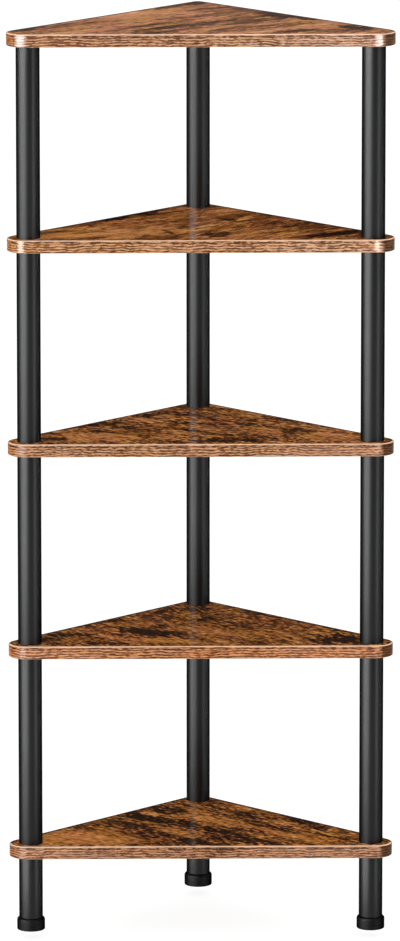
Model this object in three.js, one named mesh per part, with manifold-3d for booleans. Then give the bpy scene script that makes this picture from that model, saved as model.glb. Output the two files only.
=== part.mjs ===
// Corner shelf unit: five triangular shelves on three tubular posts with levelling feet.
// Millimetres, +Z up, floor at Z = 0. The long front edge faces -Y and the room's corner is at +Y.
import * as THREE from "three";
import { mergeVertices } from "three/addons/utils/BufferGeometryUtils.js";
import Module from "manifold-3d";

// Shelves: a right-angled triangle whose two equal legs lie along the walls.
const shelfNames = ["bottom", "lower", "middle", "upper", "top"];
const shelfLeg = 362.5; // to the sharp corners, before rounding
const shelfThickness = 15;
const frontCornerRadius = 21.5;
const rearCornerRadius = 8;
const bandThickness = 2;
const bandRounding = 1.5; // of the band's upper and lower outer edges
const glueGap = 0.3; // between the board and its edge band

// Posts: tubes with a threaded plug welded into each end.
const tubeDiameter = 28;
const tubeWall = 1;
const plugDepth = 10;
const bayHeight = 227; // clear height between two shelves
const legLength = 75;
const frontPostMargin = 9; // from a front post to the shelf's edges
const rearPostMargin = 5; // from the rear post to the shelf's edges

// Threaded studs that join the tubes through the shelves.
const studDiameter = 8;
const studReach = 12; // into each tube end
const threadClearance = 0.3; // all round, stud to threaded bore
const shelfHoleClearance = 0.5; // all round, stud to the hole in a shelf

// Threaded inserts in blind holes in the top shelf's underside.
const insertWall = 2;
const insertLength = 11;
const insertClearance = 0.3; // all round, insert to its hole
const studTipGap = 0.5; // from the stud's end to the end of the insert

// Feet: a glide on a screw that turns in the leg's lower plug.
const glideHeight = 14.5;
const glideFlange = 2.5; // how far the glide stands out past the tube
const glideShoulder = 3; // height of its rounded shoulder
const glideChamfer = 1;
const footScrewSeat = 9; // depth of the screw in the glide
const footTravel = 10;
const footGap = 0.3; // between the glide and the leg when screwed right in

const cutOverrun = 1;
const tubeFacets = 32;
const studFacets = 16;
const holeFacets = 24;
const cornerFacets = 12;
const roundingFacets = 2;
const shoulderFacets = 3;

const laminate = new THREE.MeshStandardMaterial({ color: 0x8a5b35, roughness: 0.45 });
const edging = new THREE.MeshStandardMaterial({ color: 0xbf8a64, roughness: 0.5 });
const blackPaint = new THREE.MeshStandardMaterial({ color: 0x1d1d1f, roughness: 0.38, metalness: 0.3 });
const blackPlastic = new THREE.MeshStandardMaterial({ color: 0x18181a, roughness: 0.5 });
const zincSteel = new THREE.MeshStandardMaterial({ color: 0xb4b7ba, roughness: 0.35, metalness: 1 });

// Plan of a shelf, centred on the bounding box of its rounded outline.
const halfSpan = shelfLeg * Math.SQRT1_2;
const shelfDepth = halfSpan - rearCornerRadius * (Math.SQRT2 - 1);
const frontY = -shelfDepth / 2;
const apexY = frontY + halfSpan;
const frontCornerReach = 1 / Math.tan(Math.PI / 8);

// A point at the same distance from the front edge and from a wall edge, on the side of the given sign.
function frontCornerPoint(side, inset) {
  return new THREE.Vector2(side * (halfSpan - inset * frontCornerReach), frontY + inset);
}

// A point at the same distance from both wall edges.
function rearCornerPoint(inset) {
  return new THREE.Vector2(0, apexY - inset * Math.SQRT2);
}

const frontPostInset = tubeDiameter / 2 + frontPostMargin;
const rearPostInset = tubeDiameter / 2 + rearPostMargin;
const posts = [
  { name: "left", at: frontCornerPoint(-1, frontPostInset) },
  { name: "right", at: frontCornerPoint(1, frontPostInset) },
  { name: "rear", at: rearCornerPoint(rearPostInset) },
];

// Heights
const legBottom = glideHeight + footGap;
const bottomShelfZ = legBottom + legLength;
const shelfPitch = bayHeight + shelfThickness;
const shelfZ = (level) => bottomShelfZ + level * shelfPitch;
const topLevel = shelfNames.length - 1;

// Radii
const tubeRadius = tubeDiameter / 2;
const studRadius = studDiameter / 2;
const threadRadius = studRadius + threadClearance;
const insertRadius = threadRadius + insertWall;

const unit = new THREE.Group();
const wasm = await Module();
wasm.setup();

function add(name, geometry, material, x, y, z) {
  const mesh = new THREE.Mesh(geometry, material);
  mesh.name = name;
  mesh.position.set(x, y, z);
  unit.add(mesh);
}

// A solid turned round the Z axis from a profile of [radius, height] pairs.
function turned(profile, facets) {
  const points = profile.map(([radius, height]) => new THREE.Vector2(radius, height));
  return new THREE.LatheGeometry(points, facets).rotateX(Math.PI / 2);
}

function rod(radius, length, facets) {
  return turned([[0, 0], [radius, 0], [radius, length], [0, length]], facets);
}

// The rounded triangle of a shelf, drawn smaller all round by the inset.
function shelfOutline(inset) {
  const right = frontCornerPoint(1, frontCornerRadius);
  const left = frontCornerPoint(-1, frontCornerRadius);
  const rear = rearCornerPoint(rearCornerRadius);
  const outline = new THREE.Shape();
  outline.absarc(right.x, right.y, frontCornerRadius - inset, -Math.PI / 2, Math.PI / 4, false);
  outline.absarc(rear.x, rear.y, rearCornerRadius - inset, Math.PI / 4, 3 * Math.PI / 4, false);
  outline.absarc(left.x, left.y, frontCornerRadius - inset, 3 * Math.PI / 4, 3 * Math.PI / 2, false);
  outline.closePath();
  return outline;
}

function prism(outline, height) {
  return new THREE.ExtrudeGeometry(outline, {
    depth: height,
    bevelEnabled: false,
    curveSegments: cornerFacets / 2,
  });
}

// A slab as thick as a shelf, with its upper and lower edges rounded.
function roundedSlab(outline) {
  const slab = new THREE.ExtrudeGeometry(outline, {
    depth: shelfThickness - 2 * bandRounding,
    bevelThickness: bandRounding,
    bevelSize: bandRounding,
    bevelOffset: -bandRounding,
    bevelSegments: roundingFacets,
    curveSegments: cornerFacets / 2,
  });
  return slab.translate(0, 0, bandRounding);
}

function toSolid(geometry) {
  const bare = geometry.clone();
  bare.deleteAttribute("normal");
  bare.deleteAttribute("uv");
  const merged = mergeVertices(bare);
  return new wasm.Manifold(new wasm.Mesh({
    numProp: 3,
    vertProperties: merged.attributes.position.array,
    triVerts: new Uint32Array(merged.index.array),
  }));
}

function toGeometry(solid) {
  const mesh = solid.getMesh();
  const indexed = new THREE.BufferGeometry();
  indexed.setAttribute("position", new THREE.BufferAttribute(mesh.vertProperties, mesh.numProp));
  indexed.setIndex(new THREE.BufferAttribute(mesh.triVerts, 1));
  const geometry = indexed.toNonIndexed();
  geometry.computeVertexNormals();
  return geometry;
}

// A board with a hole at each post, drilled from below to the given depth.
function board(holeRadius, holeDepth) {
  let solid = toSolid(prism(shelfOutline(bandThickness + glueGap), shelfThickness));
  for (const post of posts) {
    const drill = rod(holeRadius, holeDepth + cutOverrun, holeFacets);
    drill.translate(post.at.x, post.at.y, -cutOverrun);
    solid = solid.subtract(toSolid(drill));
  }
  return toGeometry(solid);
}

function edgeBand() {
  const core = prism(shelfOutline(bandThickness), shelfThickness + 2 * cutOverrun);
  core.translate(0, 0, -cutOverrun);
  return toGeometry(toSolid(roundedSlab(shelfOutline(0))).subtract(toSolid(core)));
}

// A tube whose two end plugs leave a threaded bore at each end.
function postTube(length) {
  const inside = tubeRadius - tubeWall;
  return turned([
    [tubeRadius, 0],
    [tubeRadius, length],
    [threadRadius, length],
    [threadRadius, length - plugDepth],
    [inside, length - plugDepth],
    [inside, plugDepth],
    [threadRadius, plugDepth],
    [threadRadius, 0],
    [tubeRadius, 0],
  ], tubeFacets);
}

function insertNut() {
  return turned([
    [insertRadius, 0],
    [insertRadius, insertLength],
    [threadRadius, insertLength],
    [threadRadius, 0],
    [insertRadius, 0],
  ], holeFacets);
}

// A glide with a blind bore for its screw and a quarter-round shoulder up to the tube's width.
function footGlide() {
  const seatFloor = glideHeight - footScrewSeat - threadClearance;
  const shoulderZ = glideHeight - glideShoulder;
  const glideRadius = tubeRadius + glideFlange;
  const profile = [[0, 0], [glideRadius - glideChamfer, 0], [glideRadius, glideChamfer]];
  for (let step = 0; step <= shoulderFacets; step++) {
    const angle = (step / shoulderFacets) * (Math.PI / 2);
    const radius = tubeRadius + glideFlange * Math.cos(angle);
    profile.push([radius, shoulderZ + glideShoulder * Math.sin(angle)]);
  }
  profile.push([threadRadius, glideHeight], [threadRadius, seatFloor], [0, seatFloor]);
  return turned(profile, tubeFacets);
}

// Shelves, each a board in its edge band
shelfNames.forEach((name, level) => {
  const isTop = level === topLevel;
  const drilled = isTop
    ? board(insertRadius + insertClearance, insertLength + insertClearance)
    : board(studRadius + shelfHoleClearance, shelfThickness + cutOverrun);
  add(`${name}_shelf`, drilled, laminate, 0, 0, shelfZ(level));
  add(`${name}_shelf_edge_band`, edgeBand(), edging, 0, 0, shelfZ(level));
});

// Posts: a leg, then a tube in each bay, joined by a stud through every shelf
const footScrewLength = footScrewSeat + footGap + studReach + footTravel;
const throughStudLength = studReach + shelfThickness + studReach;
const topStudLength = studReach + insertLength - studTipGap;
for (const { name, at } of posts) {
  add(`${name}_foot_glide`, footGlide(), blackPlastic, at.x, at.y, 0);
  const footScrew = rod(studRadius, footScrewLength, studFacets);
  add(`${name}_foot_screw`, footScrew, zincSteel, at.x, at.y, glideHeight - footScrewSeat);
  add(`${name}_leg_tube`, postTube(legLength), blackPaint, at.x, at.y, legBottom);
  shelfNames.forEach((shelf, level) => {
    const isTop = level === topLevel;
    const stud = rod(studRadius, isTop ? topStudLength : throughStudLength, studFacets);
    add(`${name}_${shelf}_shelf_stud`, stud, zincSteel, at.x, at.y, shelfZ(level) - studReach);
    if (isTop) {
      add(`${name}_insert_nut`, insertNut(), zincSteel, at.x, at.y, shelfZ(level));
      return;
    }
    const tubeZ = shelfZ(level) + shelfThickness;
    add(`${name}_post_tube_${level + 1}`, postTube(bayHeight), blackPaint, at.x, at.y, tubeZ);
  });
}

export default unit;
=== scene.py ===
"""Looks for the corner shelf unit: camera, lights, finer pieces and procedural materials, in metres."""
import math

import bmesh
import bpy
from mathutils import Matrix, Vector

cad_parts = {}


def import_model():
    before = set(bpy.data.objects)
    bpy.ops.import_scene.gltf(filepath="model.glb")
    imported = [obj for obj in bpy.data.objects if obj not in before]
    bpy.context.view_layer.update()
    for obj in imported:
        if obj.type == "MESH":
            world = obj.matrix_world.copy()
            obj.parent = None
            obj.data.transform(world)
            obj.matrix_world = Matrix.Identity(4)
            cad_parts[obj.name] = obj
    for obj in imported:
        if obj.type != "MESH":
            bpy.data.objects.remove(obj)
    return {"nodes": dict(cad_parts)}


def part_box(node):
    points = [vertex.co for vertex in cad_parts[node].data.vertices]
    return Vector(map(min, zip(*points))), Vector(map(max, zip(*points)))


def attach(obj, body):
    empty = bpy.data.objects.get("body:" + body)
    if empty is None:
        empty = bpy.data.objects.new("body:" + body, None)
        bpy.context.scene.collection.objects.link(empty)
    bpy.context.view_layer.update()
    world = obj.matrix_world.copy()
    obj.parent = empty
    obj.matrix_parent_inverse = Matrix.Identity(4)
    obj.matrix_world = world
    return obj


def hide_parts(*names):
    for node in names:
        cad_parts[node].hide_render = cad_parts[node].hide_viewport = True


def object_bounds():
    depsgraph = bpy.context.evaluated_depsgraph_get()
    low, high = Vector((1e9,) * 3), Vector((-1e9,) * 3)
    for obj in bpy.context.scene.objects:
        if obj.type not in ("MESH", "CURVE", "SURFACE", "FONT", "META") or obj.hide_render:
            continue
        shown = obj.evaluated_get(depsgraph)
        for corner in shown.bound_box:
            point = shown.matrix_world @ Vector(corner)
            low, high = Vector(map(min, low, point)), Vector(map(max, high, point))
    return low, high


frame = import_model()
cad_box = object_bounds()
nodes = frame["nodes"]

MM = 0.001
SHELVES = ("bottom", "lower", "middle", "upper", "top")
POSTS = ("left", "right", "rear")

# Sizes as in the part's source
FRONT_RADIUS = 21.5 * MM
REAR_RADIUS = 8.0 * MM
BAND_THICKNESS = 2.0 * MM
BAND_ROUNDING = 1.5 * MM
TUBE_RADIUS = 14.0 * MM
TUBE_WALL = 1.0 * MM
PLUG_DEPTH = 10.0 * MM
BORE_RADIUS = 4.3 * MM
GLIDE_SHOULDER = 3.0 * MM
GLIDE_CHAMFER = 1.0 * MM
GLIDE_BORE_DEPTH = 9.3 * MM
FOOT_TRAVEL = 10 * MM
THREAD_PITCH = 1.25 * MM
WALL_LINE = cad_box[1].y + REAR_RADIUS * (math.sqrt(2) - 1)  # |x| + y along the two wall edges


# Camera
CAMERA_DISTANCE = 10.02  # from the front edge of the shelves
CAMERA_HEIGHT = 2.6708
CAMERA_SIDE = -0.1568
CAMERA_PITCH = math.radians(11.906)
CAMERA_TURN = math.radians(-0.889)
FOCAL_PIXELS = 8769.0
IMAGE_HEIGHT = 941  # the longer side, which the sensor's width stands for
SENSOR_WIDTH = 36.0  # mm
FAR_CLIP = 200.0

front_y = cad_box[0].y
camera_data = bpy.data.cameras.new("camera")
camera_data.sensor_width = SENSOR_WIDTH
camera_data.lens = FOCAL_PIXELS * SENSOR_WIDTH / IMAGE_HEIGHT
camera_data.clip_end = FAR_CLIP
camera = bpy.data.objects.new("camera", camera_data)
camera.location = (CAMERA_SIDE, front_y - CAMERA_DISTANCE, CAMERA_HEIGHT)
camera.rotation_euler = (math.pi / 2 - CAMERA_PITCH, 0.0, CAMERA_TURN)
bpy.context.scene.collection.objects.link(camera)
bpy.context.scene.camera = camera


# Shader graphs
class Graph:
    """Adds nodes to one shader tree. An input is a plain value or another node's output."""

    def __init__(self, tree):
        self.tree = tree
        tree.nodes.clear()

    def fill(self, socket, value):
        if isinstance(value, bpy.types.NodeSocket):
            self.tree.links.new(value, socket)
        else:
            socket.default_value = value

    def node(self, kind, inputs=None, **settings):
        made = self.tree.nodes.new("ShaderNode" + kind)
        for key, value in settings.items():
            setattr(made, key, value)
        for key, value in (inputs or {}).items():
            self.fill(made.inputs[key], value)
        return made

    def position(self):
        """The place on the object at rest, in metres."""
        return self.node("TexCoord").outputs["Object"]

    def math(self, operation, a, b=0.0, c=0.0):
        return self.node("Math", {0: a, 1: b, 2: c}, operation=operation).outputs[0]

    def vector(self, operation, a, b):
        return self.node("VectorMath", {0: a, 1: b}, operation=operation).outputs[0]

    def length(self, a):
        return self.node("VectorMath", {0: a}, operation="LENGTH").outputs["Value"]

    def coordinates(self, a):
        return self.node("SeparateXYZ", {0: a}).outputs

    def local(self, vector, **settings):
        """The vector as seen from a place with the given Location, Rotation or Scale."""
        return self.node("Mapping", {"Vector": vector, **settings}, vector_type="TEXTURE").outputs[0]

    def noise(self, vector, detail=2.0, roughness=0.5, output="Fac"):
        inputs = {"Vector": vector, "Scale": 1.0, "Detail": detail, "Roughness": roughness}
        return self.node("TexNoise", inputs).outputs[output]

    def fine_noise(self, per_metre, **settings):
        """Noise with the given numbers of marks to a metre along x, y and z."""
        return self.noise(self.vector("MULTIPLY", self.position(), per_metre), **settings)

    def layered(self, layers):
        """Noise layers added up round one half, each with its weight."""
        total = 0.5 - sum(weight for noise, weight in layers) / 2
        for noise, weight in layers:
            total = self.math("MULTIPLY_ADD", noise, weight, total)
        return total

    def spread(self, value, low, high, to_low=0.0, to_high=1.0, smooth=True):
        """Goes from to_low to to_high as the value goes from low to high. Low may be the greater one."""
        inputs = {"Value": value, "From Min": low, "From Max": high, "To Min": to_low, "To Max": to_high}
        kind = "SMOOTHSTEP" if smooth else "LINEAR"
        return self.node("MapRange", inputs, interpolation_type=kind).outputs["Result"]

    def mix(self, factor, a, b, blend="MIX"):
        made = self.node("Mix", data_type="RGBA", blend_type=blend)
        for key, value in (("Factor_Float", factor), ("A_Color", a), ("B_Color", b)):
            self.fill(next(s for s in made.inputs if s.identifier == key), value)
        return next(s for s in made.outputs if s.identifier == "Result_Color")

    def ramp(self, factor, stops):
        made = self.node("ValToRGB", {"Fac": factor})
        ramp = made.color_ramp
        while len(ramp.elements) < len(stops):
            ramp.elements.new(0.5)
        for element, (position, colour) in zip(ramp.elements, stops):
            element.position = position
            element.color = colour
        return made.outputs["Color"]

    def bump(self, height, strength, distance=0.1 * MM):
        inputs = {"Height": height, "Strength": strength, "Distance": distance}
        return self.node("Bump", inputs).outputs["Normal"]


def material(name):
    made = bpy.data.materials.new(name)
    made.use_nodes = True
    return made, Graph(made.node_tree)


def surface(graph, inputs):
    shader = graph.node("BsdfPrincipled", inputs)
    graph.node("OutputMaterial", {"Surface": shader.outputs[0]})


def dress(node, look):
    """Gives a CAD node a material in place of its own."""
    nodes[node].data.materials.clear()
    nodes[node].data.materials.append(look)


def srgb(red, green, blue):
    """A colour as it looks on screen, from 0 to 255, as the linear colour that a socket takes."""
    def linear(value):
        value /= 255.0
        return value / 12.92 if value <= 0.04045 else ((value + 0.055) / 1.055) ** 2.4
    return (linear(red), linear(green), linear(blue), 1.0)


def grey(level):
    """A linear grey."""
    return (level, level, level, 1.0)


# Laminate boards
# Noise layers of the wood print: length and width of their marks in mm, detail and roughness.
PRINT_LAYERS = {
    "tone": (150, 34, 2.0, 0.5),
    "streak": (70, 13, 3.0, 0.55),
    "figure": (30, 17, 4.0, 0.65),
    "stroke": (15, 9.0, 2.0, 0.6),
    "speck": (8, 4.6, 1.0, 0.5),
    "fibre": (17, 2.4, 2.0, 0.5),
    "hair": (7, 0.7, 2.0, 0.5),
    "cloud": (40, 24, 5.0, 0.65),
    "vein": (80, 26, 3.0, 0.55),
    "hue": (70, 44, 2.0, 0.5),
}
PRINT_SEED = (731.0, 277.0, 57.0)  # from one board's place in the noise to the next, in mm
BEND_LENGTH, BEND_WIDTH, BEND_REACH = 130, 90, 30.0  # how the grain wanders, in mm
STREAK_WEIGHT = 0.9
FIBRE_WEIGHT = 0.6

# Layers and weights of ragged outlines, of dark clouds, of the cracks in dark marks, and of the relief.
RAGGED = {"cloud": 1.6, "streak": 0.9, "stroke": 1.5, "fibre": 0.9}
CLOUDED = {"cloud": 0.6, "stroke": 0.4}
CRACKED = {"speck": 0.5, "fibre": 0.5}
RELIEF = {"fibre": 0.6, "hair": 0.4}

# Where an effect starts and where it is full, in levels of its noise.
CLOUD_RANGE = (0.53, 0.66)
CRACK_RANGE = (0.46, 0.62)
HAIR_RANGE = (0.30, 0.60)
VEIN_RANGE = (0.040, 0.008)  # either side of one half
VEINED_RANGE = (0.42, 0.56)
GOLD_RANGE = (0.50, 0.64)
ROSE_RANGE = (0.50, 0.36)
RELIEF_RANGE = (0.3, 0.7)

# The same, in half sizes of a patch.
LIGHT_RANGE = (2.1, 0.9)
MARK_RANGE = (1.95, 1.25)

# The same, in mm from the wall edges, for the painted shade along them, and from the front edge, for the
# painted highlight along it.
WALL_SHADE_RANGE = (8.0, 3.0)
FRONT_HIGHLIGHT_RANGE = (5.5, 3.5)

# Strengths
LIGHT_PULL, LIGHT_LIFT = 0.50, 0.48  # a light place loses this share of its value, and gains this much
# The char depth and shares also darken the painted shade along the wall edges.
CHAR_AND_SHADE_DEPTH = 0.42
CHAR_AND_SHADE_SHARES = (0.7, 0.5)  # of the char colour, in the hollows and on the crests of the hair layer
CRACKLE = 0.45  # how far the specks of a print break up its dark marks
# How dark the painted shade along the wall edges is, and how ragged its edge.
WALL_SHADE = 0.9
WALL_SHADE_RAGGEDNESS = 3.0
VEIN_DEPTH = 0.30
HUE_SHARE = 0.8
GOLD_TINT = (1.0, 0.98, 0.68, 1.0)
ROSE_TINT = (1.0, 0.88, 1.02, 1.0)
# The painted highlight along a board's front edge, in cream, which carries on the one on the edge band's lip.
FRONT_HIGHLIGHT_SHARE = 0.5
HIGHLIGHT_CREAM = srgb(246, 208, 176)

# Surface of a board, from its gloss
DULL_ROUGHNESS, GLOSS_SMOOTHNESS, ROUGHNESS_SPREAD = 0.22, 0.20, 0.02
COAT_START, COAT_GAIN = 0.5, 1.75
BOARD_BUMP = 0.05


def print_layers(g, plan, grain, seed):
    """The noise layers of a wood print by name, with their marks along the grain."""
    def stretched(vector, length, width):
        return g.vector("MULTIPLY", vector, (1 / length, 1 / width, 1.0))

    straight = g.local(plan, Rotation=(0, 0, math.radians(grain)))
    straight = g.vector("ADD", straight, [seed * step for step in PRINT_SEED])
    bend = g.noise(stretched(straight, BEND_LENGTH, BEND_WIDTH), detail=1.0, output="Color")
    bend = g.vector("SUBTRACT", bend, (0.5, 0.5, 0.5))
    bend = g.vector("MULTIPLY", bend, (BEND_REACH, BEND_REACH, 0.0))
    along = g.vector("ADD", straight, bend)
    return {key: g.noise(stretched(along, length, width), detail=detail, roughness=roughness)
            for key, (length, width, detail, roughness) in PRINT_LAYERS.items()}


def patches(g, plan, ragged, amount, places, limits):
    """The amount, or more where a ragged ellipse lies over it."""
    for x, y, half_length, half_width, angle, strength in places:
        inside = g.local(plan, Location=(x, y, 0), Rotation=(0, 0, math.radians(angle)),
                         Scale=(half_length, half_width, 1.0))
        reach = g.math("ADD", g.length(inside), ragged)
        amount = g.math("MAXIMUM", amount, g.spread(reach, *limits, 0.0, strength))
    return amount


def laminate(shelf, grain, seed, tones, banding, figure, stroke, speck, veins, clouds, char_and_shade_colour, gloss,
             lights, marks):
    """Rustic wood print, with painted shade along the wall edges and a painted highlight along the front
    edge.

    Grain is an angle in degrees. Banding, figure, stroke and speck are weights of noise layers, veins and
    clouds are strengths, and char_and_shade_colour is the colour of the dark marks and of the painted shade
    along the wall edges. Lights and marks are (x, y, half length, half width, angle, strength), in mm and
    degrees.
    """
    made, g = material(f"laminate_{shelf}")
    plan = g.vector("MULTIPLY", g.position(), (1 / MM, 1 / MM, 0.0))
    layer = print_layers(g, plan, grain, seed)

    def weighed(weights):
        return g.layered([(layer[key], weight) for key, weight in weights.items()])

    ragged = weighed(RAGGED)
    light = patches(g, plan, ragged, 0.0, lights, LIGHT_RANGE)
    char_and_shade = g.spread(weighed(CLOUDED), *CLOUD_RANGE, 0.0, clouds)
    char_and_shade = g.math("MULTIPLY", char_and_shade, g.math("SUBTRACT", 1.0, light))
    char_and_shade = patches(g, plan, ragged, char_and_shade, marks, MARK_RANGE)
    x, y, _ = g.coordinates(plan)
    # Painted shade along the two wall edges, in the char colour.
    wall = g.math("SUBTRACT", WALL_LINE / MM, g.math("ADD", g.math("ABSOLUTE", x), y))
    wall = g.math("MULTIPLY_ADD", ragged, -WALL_SHADE_RAGGEDNESS, wall)
    char_and_shade = g.math("MAXIMUM", char_and_shade, g.spread(wall, *WALL_SHADE_RANGE, 0.0, WALL_SHADE))
    whole = g.spread(weighed(CRACKED), *CRACK_RANGE, 1.0, 1.0 - CRACKLE * speck)
    char_and_shade = g.math("MULTIPLY", char_and_shade, whole)

    value = weighed({"tone": banding, "streak": STREAK_WEIGHT, "figure": figure, "stroke": stroke,
                     "speck": speck, "fibre": FIBRE_WEIGHT})
    value = g.math("MULTIPLY_ADD", light, g.math("MULTIPLY_ADD", value, -LIGHT_PULL, LIGHT_LIFT), value)
    value = g.math("MULTIPLY_ADD", char_and_shade, -CHAR_AND_SHADE_DEPTH, value)
    vein = g.math("ABSOLUTE", g.math("SUBTRACT", layer["vein"], 0.5))
    veined = g.spread(layer["figure"], *VEINED_RANGE, 0.0, veins)
    vein = g.math("MULTIPLY", g.spread(vein, *VEIN_RANGE), veined)
    value = g.math("MULTIPLY_ADD", vein, -VEIN_DEPTH, value)

    colour = g.ramp(value, tones)
    golden = g.spread(layer["hue"], *GOLD_RANGE, 0.0, HUE_SHARE)
    colour = g.mix(golden, colour, GOLD_TINT, blend="MULTIPLY")
    rosy = g.spread(layer["hue"], *ROSE_RANGE, 0.0, HUE_SHARE)
    colour = g.mix(rosy, colour, ROSE_TINT, blend="MULTIPLY")
    char_and_shade_share = g.spread(layer["hair"], *HAIR_RANGE, *CHAR_AND_SHADE_SHARES)
    colour = g.mix(g.math("MULTIPLY", char_and_shade, char_and_shade_share), colour, char_and_shade_colour)
    # Painted highlight along the front edge of the top, in cream.
    front = g.math("SUBTRACT", y, front_y / MM)
    colour = g.mix(g.spread(front, *FRONT_HIGHLIGHT_RANGE, 0.0, FRONT_HIGHLIGHT_SHARE), colour, HIGHLIGHT_CREAM)

    relief = weighed(RELIEF)
    rough = DULL_ROUGHNESS - GLOSS_SMOOTHNESS * gloss
    rough_range = (rough + ROUGHNESS_SPREAD, rough - ROUGHNESS_SPREAD)
    coat = max(0.0, COAT_GAIN * (gloss - COAT_START))
    surface(g, {"Base Color": colour, "Roughness": g.spread(relief, *RELIEF_RANGE, *rough_range),
                "Specular IOR Level": gloss, "Coat Weight": coat, "Coat Roughness": rough,
                "Normal": g.bump(relief, BOARD_BUMP)})
    return made


def print_tones(*colours):
    """Ramp stops for a print, from its darkest colour to its lightest."""
    low, high = 0.12, 0.88
    return [(low + (high - low) * i / (len(colours) - 1), srgb(*colour)) for i, colour in enumerate(colours)]


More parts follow.
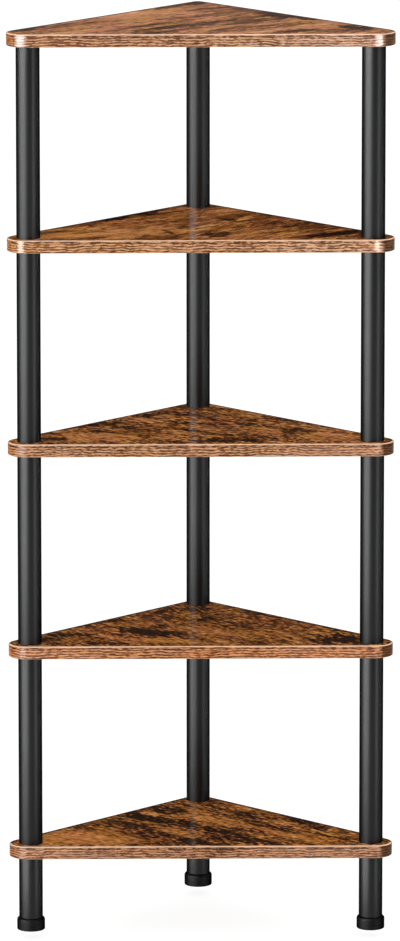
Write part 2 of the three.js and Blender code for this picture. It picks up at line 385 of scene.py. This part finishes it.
ASH = print_tones((66, 46, 36), (120, 82, 58), (172, 118, 82), (214, 152, 106), (244, 188, 142))
AMBER = print_tones((46, 24, 11), (110, 64, 30), (173, 109, 57), (222, 150, 86), (250, 190, 122))
RUSSET = print_tones((36, 17, 5), (88, 48, 17), (145, 92, 48), (196, 131, 71), (234, 171, 105))
UMBER = print_tones((31, 15, 3), (78, 42, 14), (132, 80, 36), (177, 114, 56), (214, 154, 90))
GOLDEN = print_tones((29, 14, 3), (77, 42, 13), (134, 81, 36), (186, 119, 57), (226, 161, 93))
SOOT = srgb(30, 14, 4)
BOARDS = {
    "top": dict(
        grain=38, seed=1.0, tones=ASH, char_and_shade_colour=srgb(70, 56, 50), gloss=0.4,
        banding=1.1, figure=0.65, stroke=0.4, speck=0.5, veins=0.4, clouds=0.3,
        lights=[
            (-70, 10, 110, 14, 42, 0.6), (-20, 60, 40, 16, 60, 0.5), (150, -70, 30, 12, 45, 0.5),
            (-150, -70, 60, 12, 42, 0.4), (40, 45, 26, 12, -45, 0.4)],
        marks=[
            (-12, -56, 60, 10, 32, 0.55), (-46, -76, 13, 8, 30, 0.85), (8, -47, 19, 8, 32, 0.75),
            (88, 21, 20, 14, -45, 0.95), (122, -6, 22, 7, -45, 0.85), (179, -77, 20, 10, -50, 0.75),
            (117, -99, 20, 8, 30, 0.70), (-206, -84, 24, 10, 40, 0.80), (-5, 110, 16, 8, 0, 0.70),
            (-36, 80, 24, 5, 45, 0.70), (56, -28, 26, 12, 38, 0.35)]),
    "upper": dict(
        grain=36, seed=2.0, tones=AMBER, char_and_shade_colour=SOOT, gloss=0.7,
        banding=1.1, figure=0.75, stroke=0.5, speck=0.6, veins=1.0, clouds=0.35,
        lights=[
            (-120, -84, 84, 34, 10, 1.0), (-60, -15, 60, 12, 38, 0.6), (80, -60, 50, 16, 30, 0.4),
            (30, 60, 30, 12, 60, 0.4)],
        marks=[
            (-99, 19, 17, 10, 45, 0.90), (17, -81, 15, 18, 0, 0.85), (-14, -40, 14, 8, 50, 0.55),
            (36, 9, 12, 7, -50, 0.60), (160, -86, 32, 12, 25, 0.75), (183, -68, 15, 7, 30, 0.85),
            (-64, 55, 34, 6, 45, 0.55), (-169, -67, 24, 7, 20, 0.40), (-37, -72, 4, 17, 20, 0.65),
            (44, -50, 16, 5, 60, 0.45)]),
    "middle": dict(
        grain=-35, seed=3.0, tones=RUSSET, char_and_shade_colour=SOOT, gloss=0.42,
        banding=0.6, figure=0.65, stroke=0.75, speck=1.45, veins=0.7, clouds=0.46,
        lights=[
            (-110, -84, 60, 22, 0, 0.9), (150, -80, 44, 20, -40, 0.9), (70, -55, 30, 14, -30, 0.6),
            (60, 50, 30, 12, -45, 0.5)],
        marks=[
            (-119, -6, 20, 11, 20, 0.92), (-90, -24, 14, 8, -30, 0.80), (-140, -17, 12, 6, 40, 0.65),
            (-174, -90, 16, 10, 0, 0.92), (-51, 51, 19, 8, 15, 0.85), (-19, 48, 12, 7, 0, 0.75),
            (40, -99, 38, 12, 4, 0.97), (-28, -113, 14, 5, 0, 0.85), (13, 19, 14, 4, -25, 0.85),
            (58, 12, 14, 4, -28, 0.85), (54, -8, 13, 7, 0, 0.65), (117, -48, 22, 15, 40, 0.60),
            (-64, -77, 10, 8, 0, 0.80), (-124, -49, 9, 6, 0, 0.70), (-28, 0, 9, 8, 0, 0.55)]),
    "lower": dict(
        grain=-50, seed=4.0, tones=UMBER, char_and_shade_colour=SOOT, gloss=0.24,
        banding=0.5, figure=0.65, stroke=0.75, speck=1.35, veins=0.6, clouds=0.44,
        lights=[
            (-40, -95, 50, 12, -10, 1.0), (10, -45, 48, 18, -40, 0.8), (100, -60, 50, 16, -45, 0.3),
            (-80, -20, 40, 14, 30, 0.5)],
        marks=[
            (-105, 14, 14, 9, 45, 0.80), (-155, -65, 26, 9, 10, 0.70), (-184, -86, 18, 7, 10, 0.90),
            (-60, -54, 30, 12, -22, 0.95), (-83, -35, 14, 8, -35, 0.85), (-33, -59, 14, 8, 10, 0.80),
            (-8, 70, 26, 9, 0, 0.60), (11, 15, 14, 10, 0, 1.0), (-48, -20, 10, 8, 0, 0.80),
            (-60, 30, 17, 4, -65, 0.80), (63, -17, 24, 15, -30, 0.45), (158, -90, 27, 18, -20, 0.92),
            (144, -104, 16, 8, 0, 0.85), (-41, 60, 18, 7, 30, 0.70), (-110, -108, 24, 5, 0, 0.80),
            (67, 55, 32, 6, -45, 0.55), (163, -40, 20, 8, -50, 0.80)]),
    "bottom": dict(
        grain=-42, seed=5.0, tones=GOLDEN, char_and_shade_colour=SOOT, gloss=0.2,
        banding=0.8, figure=0.6, stroke=0.6, speck=1.4, veins=0.8, clouds=0.50,
        lights=[
            (-145, -84, 82, 36, 0, 1.0), (20, 10, 120, 10, -42, 0.8), (60, 60, 50, 12, -42, 0.5),
            (130, -90, 50, 12, -40, 0.7), (-10, 92, 22, 10, -42, 0.5)],
        marks=[
            (-42, 53, 26, 15, -28, 1.0), (-67, 17, 25, 16, -30, 0.92), (-37, -2, 23, 13, -35, 0.97),
            (-78, 45, 24, 9, 45, 0.88), (22, -49, 25, 12, -38, 0.93), (-14, -24, 17, 11, -38, 0.88),
            (58, -99, 40, 13, -30, 0.92), (-6, -104, 26, 12, -20, 0.80), (31, -81, 30, 13, -38, 0.72),
            (122, -8, 20, 8, -40, 0.98), (138, -35, 16, 11, -60, 0.90), (-101, -8, 18, 12, 60, 0.60),
            (-64, -67, 28, 15, -30, 0.58), (-78, -27, 24, 13, -38, 0.55), (58, 19, 18, 8, -40, 0.70),
            (53, -49, 18, 4, -38, 0.88), (90, -40, 42, 5, -40, 0.70)]),
}
for shelf in SHELVES:
    dress(f"{shelf}_shelf", laminate(shelf, **BOARDS[shelf]))


# Edge bands
# Noise layers: length along the band and height of their marks in mm, detail and roughness.
SMOOTH_LAYERS = {
    "wave": (12, 12, 1.0, 0.5),
    "swell": (60, 40, 2.0, 0.5),
    "tone": (34, 20, 2.0, 0.5),
    "hue": (110, 60, 1.0, 0.5),
}
# The wave and the swell bend these.
WAVED_LAYERS = {
    "broken": (7, 2.2, 2.0, 0.6),
    "fine": (3.4, 1.1, 2.0, 0.6),
}
BAND_SEED = (413.0, 89.0, 0.0)  # from one band's place in the noise to the next, in mm
WAVE_HEIGHT, SWELL_HEIGHT = 3.2, 7.0  # of the bent lines, in mm
TONE_WEIGHT, BROKEN_WEIGHT, FINE_WEIGHT = 1.1, 1.0, 1.2
LINE_PITCH = 3.1  # of the wavy lines, in mm

# Where an effect starts and where it is full, in levels of its noise.
ROSE_PLACES = (0.50, 0.66)
DARK_PLACES = (0.58, 0.49)
PALE_PLACES = (0.40, 0.52)
SHADOW_LINE_PLACES = (0.65, 0.40)

# The same in pitches from the middle of a dark line.
DARK_WIDTH = (0.22, 0.12)
PALE_WIDTH = (0.30, 0.40)

# The same in mm, from the band's upper edge, from its lower edge, and from its left and right end: for the
# painted highlight and shade on the lip, the painted shadow line under it, the faint painted reflection along
# the lower edge, and the painted lit colour and painted shade at the ends.
LIP_HIGHLIGHT_RANGE = (1.0, 0.4)
# The painted shadow line under the lip.
SHADOW_LINE_TOP, SHADOW_LINE_FOOT = (1.4, 1.8), (3.6, 2.6)
LOWER_EDGE_REFLECTION_RANGE = (1.0, 0.4)
LEFT_END, RIGHT_END = (12, 7), (17, 11)
FACE_START, FACE_FULL = 1.1 * FRONT_RADIUS, 0.7 * FRONT_RADIUS  # the part of the band that faces the front

# Strengths and colours
ROSE_SHARE, DARK_SHARE, PALE_SHARE = 0.45, 0.95, 0.7
# How dark the painted shadow line under the lip is.
SHADOW_LINE_SHARES = (0.2, 0.9)
# Painted highlight on the lip, and faint painted reflection along the lower edge.
LIP_HIGHLIGHT_SHARE, LOWER_EDGE_REFLECTION_SHARE = 0.9, 0.35
LEFT_END_LIT_SHARE, RIGHT_END_SHADE_SHARE = 0.6, 0.85
ROSE_WOOD = srgb(172, 118, 90)
# Painted lit colour at the left end, painted shade at the right end and on the lip at the back.
LEFT_END_LIT = srgb(184, 106, 46)
RIGHT_END_SHADE = srgb(70, 42, 25)
REAR_LIP_SHADE = srgb(52, 34, 24)

# Surface of a band, dull but for its gleams
DULL_BAND = 0.03  # its specular level
BAND_ROUGHNESS = (0.20, 0.15)
BAND_BUMP = 0.08
GLEAM_ROUGHNESS = 0.18


def edge_laminate(shelf, low, high, seed, tones, line_colour, pale, edge_highlight, tints_and_sheen,
                  left_gleam, right_gleam):
    """Wood print in wavy lines round the edge, with a painted highlight along its upper edge in front
    and painted shade along it at the back, a painted shadow line under it, a painted lit colour at the left
    end, painted shade at the right end and a faint painted reflection along the lower edge.

    The tints, the print's hue together with painted sheen and shade, belong to the left and the right end.
    A gleam is a polished stretch of a rounded corner: where it starts, is full, starts to fade and ends, in
    mm from the end of the shelf, and how glossy it is.
    """
    made, g = material(f"edge_{shelf}")
    position = g.position()
    run = g.vector("MULTIPLY", position, (1 / MM, 1 / MM, 1 / MM))
    run = g.vector("ADD", run, [seed * step for step in BAND_SEED])

    def layers(vector, sizes):
        return {key: g.noise(g.vector("MULTIPLY", vector, (1 / length, 1 / length, 1 / height)),
                             detail=detail, roughness=roughness)
                for key, (length, height, detail, roughness) in sizes.items()}

    smooth_layer = layers(run, SMOOTH_LAYERS)
    lift = g.layered([(smooth_layer["wave"], WAVE_HEIGHT), (smooth_layer["swell"], SWELL_HEIGHT)])
    waved = g.vector("ADD", run, g.node("CombineXYZ", {2: lift}).outputs[0])
    waved_layer = layers(waved, WAVED_LAYERS)
    tone, hue = smooth_layer["tone"], smooth_layer["hue"]
    broken, fine = waved_layer["broken"], waved_layer["fine"]

    x, y, z = g.coordinates(position)
    from_left = g.math("MULTIPLY_ADD", x, 1 / MM, -low.x / MM)
    from_right = g.math("MULTIPLY_ADD", x, -1 / MM, high.x / MM)
    below_top = g.math("MULTIPLY_ADD", z, -1 / MM, high.z / MM)
    above_foot = g.math("MULTIPLY_ADD", z, 1 / MM, -low.z / MM)
    front = g.spread(y, low.y + FACE_START, low.y + FACE_FULL)

    colour = g.ramp(g.layered([(tone, TONE_WEIGHT), (broken, BROKEN_WEIGHT), (fine, FINE_WEIGHT)]), tones)
    colour = g.mix(g.spread(hue, *ROSE_PLACES, 0.0, ROSE_SHARE), colour, ROSE_WOOD)
    # Tints from the left end to the right: the print's hue together with painted sheen and shade.
    tint = g.mix(g.spread(x, low.x, high.x, smooth=False), tints_and_sheen[0], tints_and_sheen[1])
    colour = g.mix(1.0, colour, tint, blend="MULTIPLY")
    # Painted lit colour at the left end of the front, where the key light falls.
    end = g.spread(from_left, *LEFT_END, 0.0, LEFT_END_LIT_SHARE)
    colour = g.mix(g.math("MULTIPLY", front, end), colour, LEFT_END_LIT)

    line = g.math("PINGPONG", g.math("MULTIPLY", g.coordinates(waved)[2], 1 / LINE_PITCH), 0.5)
    pale_line = g.math("MULTIPLY", g.spread(line, *PALE_WIDTH), g.spread(broken, *PALE_PLACES))
    colour = g.mix(g.math("MULTIPLY", pale_line, PALE_SHARE), colour, pale)
    dark_line = g.math("MULTIPLY", g.spread(line, *DARK_WIDTH), g.spread(broken, *DARK_PLACES))
    colour = g.mix(g.math("MULTIPLY", dark_line, DARK_SHARE), colour, line_colour)
    # Painted shade at the right end of the front, away from the key light.
    end = g.spread(from_right, *RIGHT_END, 0.0, RIGHT_END_SHADE_SHARE)
    colour = g.mix(g.math("MULTIPLY", front, end), colour, RIGHT_END_SHADE)

    # Painted shadow line under the lip, in the line colour.
    groove = g.math("MULTIPLY", g.spread(below_top, *SHADOW_LINE_TOP), g.spread(below_top, *SHADOW_LINE_FOOT))
    groove = g.math("MULTIPLY", groove, g.spread(broken, *SHADOW_LINE_PLACES, *SHADOW_LINE_SHARES))
    colour = g.mix(groove, colour, line_colour)
    # Painted highlight on the lip in front, painted shade on the lip at the back.
    lip_light_and_shade = g.math("MULTIPLY", g.spread(below_top, *LIP_HIGHLIGHT_RANGE), LIP_HIGHLIGHT_SHARE)
    colour = g.mix(lip_light_and_shade, colour, g.mix(front, REAR_LIP_SHADE, edge_highlight))
    # A faint painted reflection of the floor along the lower edge.
    colour = g.mix(g.spread(above_foot, *LOWER_EDGE_REFLECTION_RANGE, 0.0, LOWER_EDGE_REFLECTION_SHARE), colour, edge_highlight)

    polish = 0.0
    for inward, (start, full, fade, stop, gloss) in ((from_left, left_gleam), (from_right, right_gleam)):
        stretch = g.math("MULTIPLY", g.spread(inward, start, full), g.spread(inward, stop, fade))
        polish = g.math("MULTIPLY_ADD", g.math("MULTIPLY", stretch, front), gloss, polish)
    relief = g.layered([(fine, 0.5), (broken, 0.5)])
    normal = g.bump(relief, BAND_BUMP)
    surface(g, {"Base Color": colour, "Roughness": g.spread(relief, *RELIEF_RANGE, *BAND_ROUGHNESS),
                "Specular IOR Level": DULL_BAND, "Normal": normal,
                "Coat Weight": polish, "Coat Roughness": GLEAM_ROUGHNESS, "Coat Normal": normal})
    return made


ROSY = print_tones((110, 62, 30), (168, 114, 73), (212, 159, 120))
WARM = print_tones((112, 62, 26), (167, 112, 66), (211, 156, 112))
TAN = print_tones((110, 60, 28), (162, 106, 64), (204, 148, 104))
RUST = print_tones((116, 58, 22), (176, 104, 56), (216, 146, 94))
BANDS = {
    "top": dict(
        seed=1.0, tones=ROSY, line_colour=srgb(74, 38, 18), pale=srgb(240, 194, 150),
        edge_highlight=srgb(240, 206, 180), tints_and_sheen=((0.545, 0.355, 0.17, 1.0), (1.16, 1.38, 1.78, 1.0)),
        left_gleam=(8.8, 15.0, 16.5, 26.0, 1.0), right_gleam=(14.0, 18.0, 18.5, 27.5, 0.92)),
    "upper": dict(
        seed=2.0, tones=WARM, line_colour=srgb(58, 28, 12), pale=srgb(240, 190, 138),
        edge_highlight=HIGHLIGHT_CREAM, tints_and_sheen=((0.90, 0.81, 0.65, 1.0), (1.07, 1.16, 1.62, 1.0)),
        left_gleam=(11.2, 15.5, 16.2, 22.0, 0.80), right_gleam=(16.3, 20.5, 21.0, 26.0, 0.58)),
    "middle": dict(
        seed=3.0, tones=TAN, line_colour=srgb(52, 28, 12), pale=srgb(232, 180, 130),
        edge_highlight=HIGHLIGHT_CREAM, tints_and_sheen=((0.86, 0.86, 0.94, 1.0), (0.96, 0.96, 1.00, 1.0)),
        left_gleam=(9.5, 16.5, 17.5, 22.0, 0.21), right_gleam=(15.0, 19.5, 20.5, 25.0, 0.10)),
    "lower": dict(
        seed=4.0, tones=RUST, line_colour=srgb(66, 30, 10), pale=srgb(240, 176, 120),
        edge_highlight=HIGHLIGHT_CREAM, tints_and_sheen=((0.85, 0.90, 1.02, 1.0), (1.00, 1.05, 1.14, 1.0)),
        left_gleam=(11.0, 16.5, 17.5, 22.0, 0.22), right_gleam=(14.5, 19.5, 20.5, 25.0, 0.04)),
    "bottom": dict(
        seed=5.0, tones=TAN, line_colour=srgb(50, 28, 18), pale=srgb(228, 174, 128),
        edge_highlight=HIGHLIGHT_CREAM, tints_and_sheen=((0.92, 0.90, 1.03, 1.0), (0.86, 0.85, 0.99, 1.0)),
        left_gleam=(9.5, 16.5, 17.5, 22.0, 0.09), right_gleam=(14.5, 19.5, 20.5, 25.0, 0.02)),
}

CORNER_STEPS = 24
ROUNDING_STEPS = 6


def link_mesh(name, vertices, faces):
    mesh = bpy.data.meshes.new(name)
    mesh.from_pydata(vertices, [], faces)
    build = bmesh.new()
    build.from_mesh(mesh)
    bmesh.ops.recalc_face_normals(build, faces=build.faces)
    build.to_mesh(mesh)
    build.free()
    mesh.validate()
    made = bpy.data.objects.new(name, mesh)
    bpy.context.scene.collection.objects.link(made)
    return made


def smooth(made, angle=35):
    """Smooth shading, with edges sharper than the angle kept sharp."""
    mesh = made.data
    mesh.polygons.foreach_set("use_smooth", [True] * len(mesh.polygons))
    mesh.set_sharp_from_angle(angle=math.radians(angle))


def arc(radius_x, radius_y, start, end, steps):
    """Points on an ellipse round the origin, between two angles in degrees."""
    points = []
    for step in range(steps + 1):
        angle = math.radians(start + (end - start) * step / steps)
        points.append((radius_x * math.cos(angle), radius_y * math.sin(angle)))
    return points


def moved(points, x, y):
    return [(x + point_x, y + point_y) for point_x, point_y in points]


def rings_to_faces(rings, count, closed):
    """Quads between rings of count vertices each. Closed joins the last ring to the first."""
    faces = []
    for ring in range(rings if closed else rings - 1):
        here, there = ring * count, ((ring + 1) % rings) * count
        for i in range(count):
            j = (i + 1) % count
            faces.append((here + i, here + j, there + j, there + i))
    return faces


def capped(faces, rings, count):
    """The faces, and one more on the first and on the last ring."""
    return faces + [tuple(range(count)), tuple(range((rings - 1) * count, rings * count))]


def shelf_ring(low, high, inset):
    """Points round a shelf's rounded triangle, drawn smaller by the inset."""
    right = (high.x - FRONT_RADIUS, low.y + FRONT_RADIUS)
    left = (low.x + FRONT_RADIUS, low.y + FRONT_RADIUS)
    rear = (0.0, high.y - REAR_RADIUS)
    points = []
    for centre, radius, start, end in (
            (right, FRONT_RADIUS, -90, 45), (rear, REAR_RADIUS, 45, 135), (left, FRONT_RADIUS, 135, 270)):
        points += moved(arc(radius - inset, radius - inset, start, end, CORNER_STEPS), *centre)
    return points


def edge_band(shelf):
    node = f"{shelf}_shelf_edge_band"
    low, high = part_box(node)
    # The section, as insets and heights from the inner lower corner round the outside to the inner upper one.
    section = [(BAND_THICKNESS, low.z)]
    rounding = (BAND_ROUNDING, BAND_ROUNDING)
    section += moved(arc(*rounding, 270, 180, ROUNDING_STEPS), BAND_ROUNDING, low.z + BAND_ROUNDING)
    section += moved(arc(*rounding, 180, 90, ROUNDING_STEPS), BAND_ROUNDING, high.z - BAND_ROUNDING)
    section.append((BAND_THICKNESS, high.z))
    vertices = []
    for inset, z in section:
        ring = shelf_ring(low, high, inset)
        vertices += [(x, y, z) for x, y in ring]
    made = link_mesh(f"edge_band_{shelf}", vertices, rings_to_faces(len(section), len(ring), closed=True))
    smooth(made)
    made.data.materials.append(edge_laminate(shelf, low, high, **BANDS[shelf]))
    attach(made, "shelf_frame")
    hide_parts(node)
    return made


bands = [edge_band(shelf) for shelf in SHELVES]


# Paint, plastic and steel
NO_EDGE_TINT = grey(0.0)  # keeps a dark metallic surface from turning white where it is seen at a flat angle


def satin_black():
    made, g = material("satin_black_paint")
    peel = g.fine_noise((900.0, 900.0, 900.0))
    dark, light = (0.0166, 0.0167, 0.0170, 1.0), (0.0196, 0.0197, 0.0200, 1.0)
    surface(g, {"Base Color": g.mix(g.spread(peel, 0.35, 0.65), dark, light), "Metallic": 1.0,
                "Roughness": g.spread(peel, *RELIEF_RANGE, 0.37, 0.40), "Specular Tint": NO_EDGE_TINT,
                "Normal": g.bump(peel, 0.06)})
    return made


def foot_plastic():
    made, g = material("foot_plastic")
    grain = g.fine_noise((1500.0, 1500.0, 1500.0), detail=3.0, roughness=0.6)
    scuff = g.fine_noise((120.0, 120.0, 400.0), detail=4.0, roughness=0.7)
    dark, light = (0.0074, 0.0074, 0.0076, 1.0), (0.0110, 0.0110, 0.0112, 1.0)
    surface(g, {"Base Color": g.mix(g.spread(scuff, 0.45, 0.75), dark, light), "Metallic": 1.0,
                "Roughness": g.spread(grain, *RELIEF_RANGE, 0.42, 0.56), "Specular Tint": NO_EDGE_TINT,
                "Normal": g.bump(grain, 0.2, distance=0.2 * MM)})
    return made


def zinc():
    made, g = material("zinc_steel")
    crystals = g.fine_noise((420.0, 420.0, 420.0), detail=3.0, roughness=0.6)
    dark, light = (0.46, 0.47, 0.48, 1.0), (0.60, 0.61, 0.63, 1.0)
    surface(g, {"Base Color": g.mix(g.spread(crystals, 0.35, 0.65), dark, light), "Metallic": 1.0,
                "Roughness": g.spread(crystals, *RELIEF_RANGE, 0.28, 0.42),
                "Normal": g.bump(crystals, 0.2)})
    return made


BLACK, FOOT, ZINC = satin_black(), foot_plastic(), zinc()


# Turned pieces
TURNED_FACETS = 96
TUBE_END_ROUNDING = 0.35 * MM
ROUNDING_FACETS = 3
CHAMFER_FACETS = 5
SHOULDER_FACETS = 10
PIN_RADIUS = 0.4 * MM  # of the small faces at the middle of a solid end
SCREW_FACETS = 32
SCREW_ROWS = 10  # for each turn of the thread
THREAD_DEPTH = 0.62 * MM
THREAD_SLOPE = 2.7  # of the thread's sides: with more, its root is wider


def turned(name, low, high, profile, closed):
    """A piece turned round the vertical axis of its box from (radius, height) pairs, in metres."""
    centre = (low + high) / 2
    vertices = []
    for radius, height in profile:
        for i in range(TURNED_FACETS):
            angle = 2 * math.pi * i / TURNED_FACETS
            x, y = centre.x + radius * math.cos(angle), centre.y + radius * math.sin(angle)
            vertices.append((x, y, height))
    faces = rings_to_faces(len(profile), TURNED_FACETS, closed)
    if not closed:
        faces = capped(faces, len(profile), TURNED_FACETS)
    made = link_mesh(name, vertices, faces)
    smooth(made)
    return made


def tube(node, name):
    """A tube with rounded ends and a plug with a bore in each."""
    low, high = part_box(node)
    radius = (high.x - low.x) / 2
    inside, corner = radius - TUBE_WALL, radius - TUBE_END_ROUNDING
    rounding = (TUBE_END_ROUNDING, TUBE_END_ROUNDING)
    profile = moved(arc(*rounding, -90, 0, ROUNDING_FACETS), corner, low.z + TUBE_END_ROUNDING)
    profile += moved(arc(*rounding, 0, 90, ROUNDING_FACETS), corner, high.z - TUBE_END_ROUNDING)
    profile += [(BORE_RADIUS, high.z), (BORE_RADIUS, high.z - PLUG_DEPTH), (inside, high.z - PLUG_DEPTH),
                (inside, low.z + PLUG_DEPTH), (BORE_RADIUS, low.z + PLUG_DEPTH), (BORE_RADIUS, low.z)]
    made = turned(name, low, high, profile, closed=True)
    made.data.materials.append(BLACK)
    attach(made, "shelf_frame")
    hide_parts(node)
    return made


def glide(post):
    """A foot with a chamfer below, a quarter-round shoulder up to the tube's width, and a blind bore."""
    node = f"{post}_foot_glide"
    low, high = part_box(node)
    radius = (high.x - low.x) / 2
    flange = radius - TUBE_RADIUS
    corner = radius - GLIDE_CHAMFER
    profile = [(PIN_RADIUS, low.z), (corner, low.z)]
    chamfer = arc(GLIDE_CHAMFER, GLIDE_CHAMFER, -75, 0, CHAMFER_FACETS)
    profile += moved(chamfer, corner, low.z + GLIDE_CHAMFER)
    shoulder = arc(flange, GLIDE_SHOULDER, 0, 90, SHOULDER_FACETS)
    profile += moved(shoulder, TUBE_RADIUS, high.z - GLIDE_SHOULDER)
    bore_end = high.z - GLIDE_BORE_DEPTH
    profile += [(BORE_RADIUS, high.z), (BORE_RADIUS, bore_end), (PIN_RADIUS, bore_end)]
    made = turned(f"glide_{post}", low, high, profile, closed=False)
    made.data.materials.append(FOOT)
    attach(made, f"{post}_foot")
    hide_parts(node)
    return made


def foot_screw(post):
    """A screw whose radius rises and falls along a helix. The thread runs out at both ends."""
    node = f"{post}_foot_screw"
    low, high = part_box(node)
    centre = (low + high) / 2
    crest = (high.x - low.x) / 2
    length = high.z - low.z
    rows = round(length / THREAD_PITCH * SCREW_ROWS)
    vertices = []
    for row in range(rows + 1):
        height = length * row / rows
        run_out = min(1.0, height / THREAD_PITCH, (length - height) / THREAD_PITCH)
        for i in range(SCREW_FACETS):
            turn = i / SCREW_FACETS
            phase = (height / THREAD_PITCH - turn) % 1.0
            groove = min(1.0, THREAD_SLOPE * (0.5 - abs(phase - 0.5)))
            radius = crest - THREAD_DEPTH * (1 - run_out * (1 - groove))
            angle = 2 * math.pi * turn
            x, y = centre.x + radius * math.cos(angle), centre.y + radius * math.sin(angle)
            vertices.append((x, y, low.z + height))
    faces = capped(rings_to_faces(rows + 1, SCREW_FACETS, closed=False), rows + 1, SCREW_FACETS)
    made = link_mesh(f"screw_{post}", vertices, faces)
    smooth(made, angle=60)
    made.data.materials.append(ZINC)
    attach(made, f"{post}_screw")
    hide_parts(node)


black_pieces = []
for post in POSTS:
    black_pieces.append(tube(f"{post}_leg_tube", f"leg_{post}"))
    for bay in range(1, len(SHELVES)):
        black_pieces.append(tube(f"{post}_post_tube_{bay}", f"tube_{post}_{bay}"))
    black_pieces.append(glide(post))
    foot_screw(post)
    for shelf in SHELVES:
        dress(f"{post}_{shelf}_shelf_stud", ZINC)
    dress(f"{post}_insert_nut", ZINC)


# Floor and world
FLOOR_RADIUS = 60.0
FLOOR_FACETS = 96
FLOOR_GAP = 0.2 * MM
FLOOR_GREY = grey(0.8)  # for the light that it throws on the object
SHADOW_GREY = grey(0.16)  # the part of its look that shows the object's shadow
FLOOR_WHITE = 0.92  # the part that glows, so that it looks white

# Heights of a direction, from 0 level to 1 overhead
HORIZON_EDGE = (0.085, 0.068)
CEILING_EDGE = (0.35, 0.80)
DIM_SKY, CEILING, HORIZON = grey(0.004), grey(1.8), grey(1.0)


def floor():
    """A round pale floor, clear from below, as low as the glides reach when they are screwed right out."""
    ring = arc(FLOOR_RADIUS, FLOOR_RADIUS, 0, 360, FLOOR_FACETS)[:-1]
    made = link_mesh("floor", [(x, y, 0.0) for x, y in ring], [tuple(range(FLOOR_FACETS))])
    if made.data.polygons[0].normal.z < 0:
        made.data.flip_normals()
    made.location.z = -FOOT_TRAVEL - FLOOR_GAP
    look, g = material("pale_floor")
    path = g.node("LightPath").outputs
    seen = g.math("MAXIMUM", path["Is Camera Ray"], path["Is Glossy Ray"])
    seen = g.math("MAXIMUM", seen, path["Is Transmission Ray"])
    plain = g.node("BsdfDiffuse", {"Color": FLOOR_GREY}).outputs[0]
    shade = g.node("BsdfDiffuse", {"Color": SHADOW_GREY}).outputs[0]
    white = g.node("Emission", {"Color": grey(1.0), "Strength": FLOOR_WHITE}).outputs[0]
    shown = g.node("AddShader", {0: shade, 1: white}).outputs[0]
    top = g.node("MixShader", {0: seen, 1: plain, 2: shown}).outputs[0]
    back = g.node("NewGeometry").outputs["Backfacing"]
    clear = g.node("BsdfTransparent").outputs[0]
    sides = g.node("MixShader", {0: back, 1: top, 2: clear}).outputs[0]
    g.node("OutputMaterial", {"Surface": sides})
    made.data.materials.append(look)


def world():
    """A white horizon, dim above it and bright overhead, as in a white studio lit from the ceiling."""
    made = bpy.data.worlds.new("studio")
    bpy.context.scene.world = made
    made.use_nodes = True
    g = Graph(made.node_tree)
    direction = g.node("TexCoord").outputs["Generated"]
    height = g.coordinates(direction)[2]
    shade = g.mix(g.spread(height, *CEILING_EDGE), DIM_SKY, CEILING)
    shade = g.mix(g.spread(height, *HORIZON_EDGE), shade, HORIZON)
    light = g.node("Background", {"Color": shade, "Strength": 1.0}).outputs[0]
    g.node("OutputWorld", {"Surface": light})


# Lamps
# Strips: azimuth in degrees from straight ahead, to the left where negative, distance, width, lowest and
# highest point, and radiance.
POST_STRIPS = {
    "key_strip": (-54, 4.0, 4.60, -1.4, 1.3, 9.8),
    "key_strip_high": (-54, 4.0, 4.60, 1.3, 2.9, 17.5),
    "fill_strip": (52, 4.0, 0.90, -1.4, 2.4, 7.2),
    "right_rim_strip": (106, 4.0, 2.80, -1.4, 1.6, 2.4),
    "back_left_strip": (-132, 4.0, 0.75, -1.4, 1.6, 8.0),
    "back_right_strip": (130, 4.0, 3.25, -1.4, 1.6, 9.0),
}
CORNER_STRIPS = {
    "left_corner_strip": (-38, 1.9, 2.56, -1.0, 4.0, 17.0),
    "right_corner_strip": (26, 1.87, 1.51, -1.0, 4.0, 17.0),
}


def lamp(name, azimuth, distance, height, width, tall, radiance, aim_height):
    """A soft box that looks at the object's axis."""
    data = bpy.data.lights.new(name, "AREA")
    data.shape = "RECTANGLE"
    data.size, data.size_y = width, tall
    data.energy = radiance * math.pi * width * tall
    made = bpy.data.objects.new(name, data)
    angle = math.radians(azimuth)
    made.location = (distance * math.sin(angle), -distance * math.cos(angle), height)
    aim = Vector((0.0, 0.0, aim_height)) - made.location
    made.rotation_euler = aim.to_track_quat("-Z", "Y").to_euler()
    made.visible_camera = False
    bpy.context.scene.collection.objects.link(made)
    return made


def strips(table, group, receivers, importance):
    """Upright soft boxes that show in the gloss of the receivers and light nothing else.

    Importance sampling stays off for the posts, where it loses part of the light.
    """
    linked = bpy.data.collections.new(group)
    for piece in receivers:
        linked.objects.link(piece)
    for name, (azimuth, distance, width, lowest, highest, radiance) in table.items():
        middle = (lowest + highest) / 2
        made = lamp(name, azimuth, distance, middle, width, highest - lowest, radiance, aim_height=middle)
        made.visible_diffuse = False
        made.light_linking.receiver_collection = linked
        made.light_linking.blocker_collection = linked
        made.data.cycles.use_multiple_importance_sampling = importance


floor()
world()
strips(POST_STRIPS, "glossy_posts", black_pieces, importance=False)
strips(CORNER_STRIPS, "glossy_edges", bands, importance=True)
lamp("front_soft", azimuth=-24, distance=4.2, height=3.0, width=2.4, tall=2.0, radiance=3.4, aim_height=0.5)

bpy.context.scene.view_settings.view_transform = "Standard"
